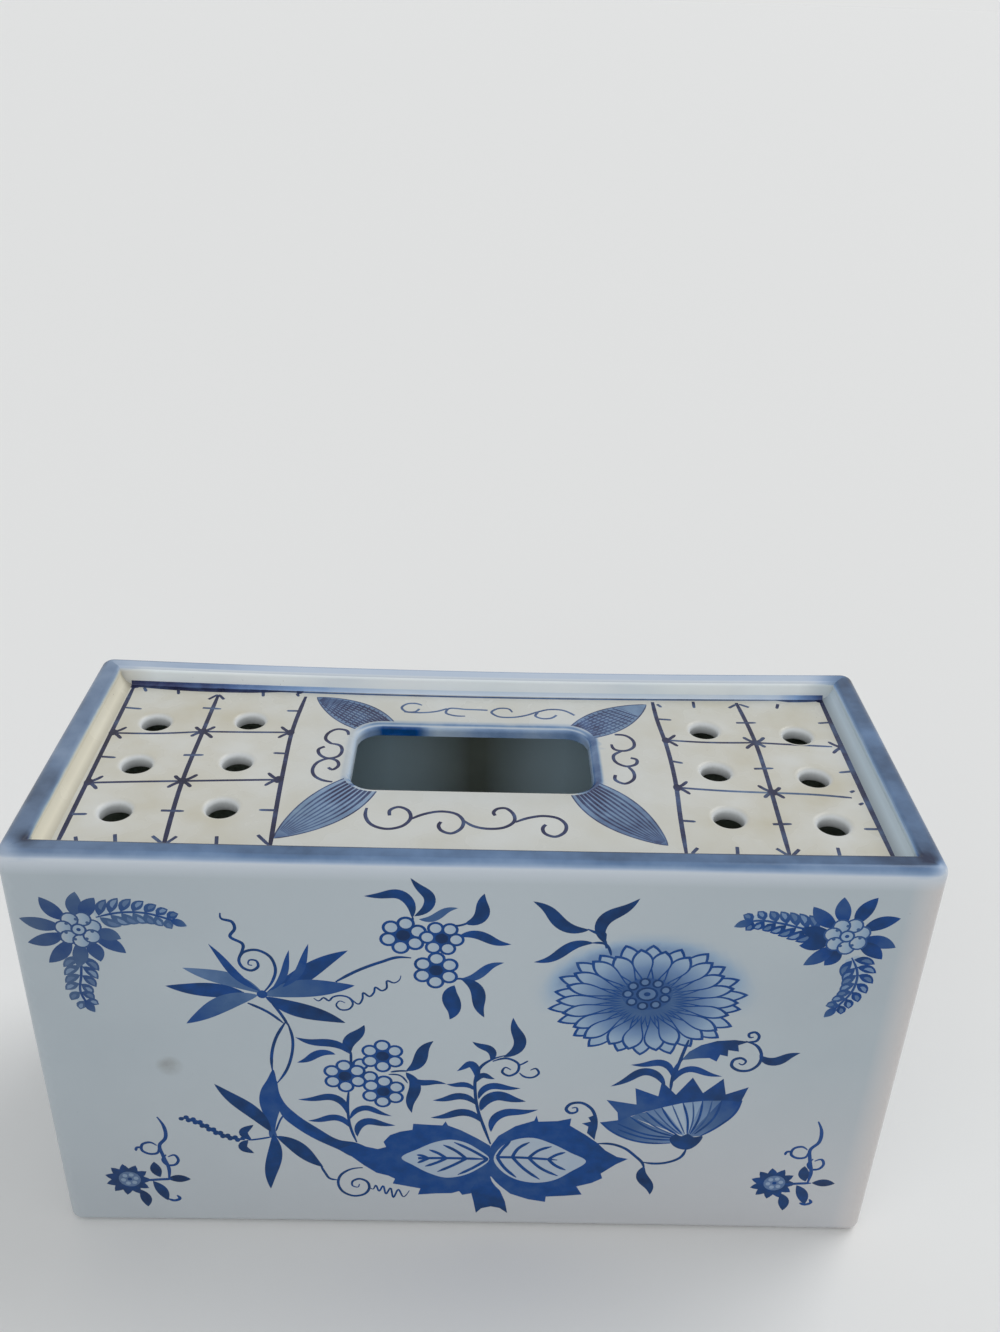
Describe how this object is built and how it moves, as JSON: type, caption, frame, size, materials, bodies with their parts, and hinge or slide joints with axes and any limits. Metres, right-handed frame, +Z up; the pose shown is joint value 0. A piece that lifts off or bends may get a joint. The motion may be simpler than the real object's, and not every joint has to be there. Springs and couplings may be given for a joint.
{
  "type": "flower brick",
  "caption": "Rectangular slab-built porcelain vase with a sunken top pierced by stem holes around a wide middle opening.",
  "frame": {"origin": "on the table under the middle of the brick's outer box", "axes": "+X along the length, to the right seen from the front; +Y to the back; +Z up"},
  "size_m": [0.2, 0.085, 0.116],
  "materials": {
    "porcelain_glaze": "clear gloss glaze over bluish white porcelain, cobalt blue at the rim",
    "cream_glaze": "cream gloss glaze",
    "chamber_glaze": "thin greenish glaze over the clay inside the chamber",
    "cobalt_decoration": "cobalt blue under the glaze"
  },
  "bodies": {
    "root": {"front_wall": "porcelain_glaze", "back_wall": "porcelain_glaze", "left_end_wall": "porcelain_glaze", "right_end_wall": "porcelain_glaze", "floor_slab": "chamber_glaze", "pierced_top": "cream_glaze", "front_left_corner_coil": "chamber_glaze", "front_right_corner_coil": "chamber_glaze", "back_left_corner_coil": "chamber_glaze", "back_right_corner_coil": "chamber_glaze", "front_floor_coil": "chamber_glaze", "front_ledge": "chamber_glaze", "front_seam_fillet": "cream_glaze", "back_floor_coil": "chamber_glaze", "back_ledge": "chamber_glaze", "back_seam_fillet": "cream_glaze", "left_floor_coil": "chamber_glaze", "left_ledge": "chamber_glaze", "left_seam_fillet": "cream_glaze", "right_floor_coil": "chamber_glaze", "right_ledge": "chamber_glaze", "right_seam_fillet": "cream_glaze"}
  },
  "joints": []
}
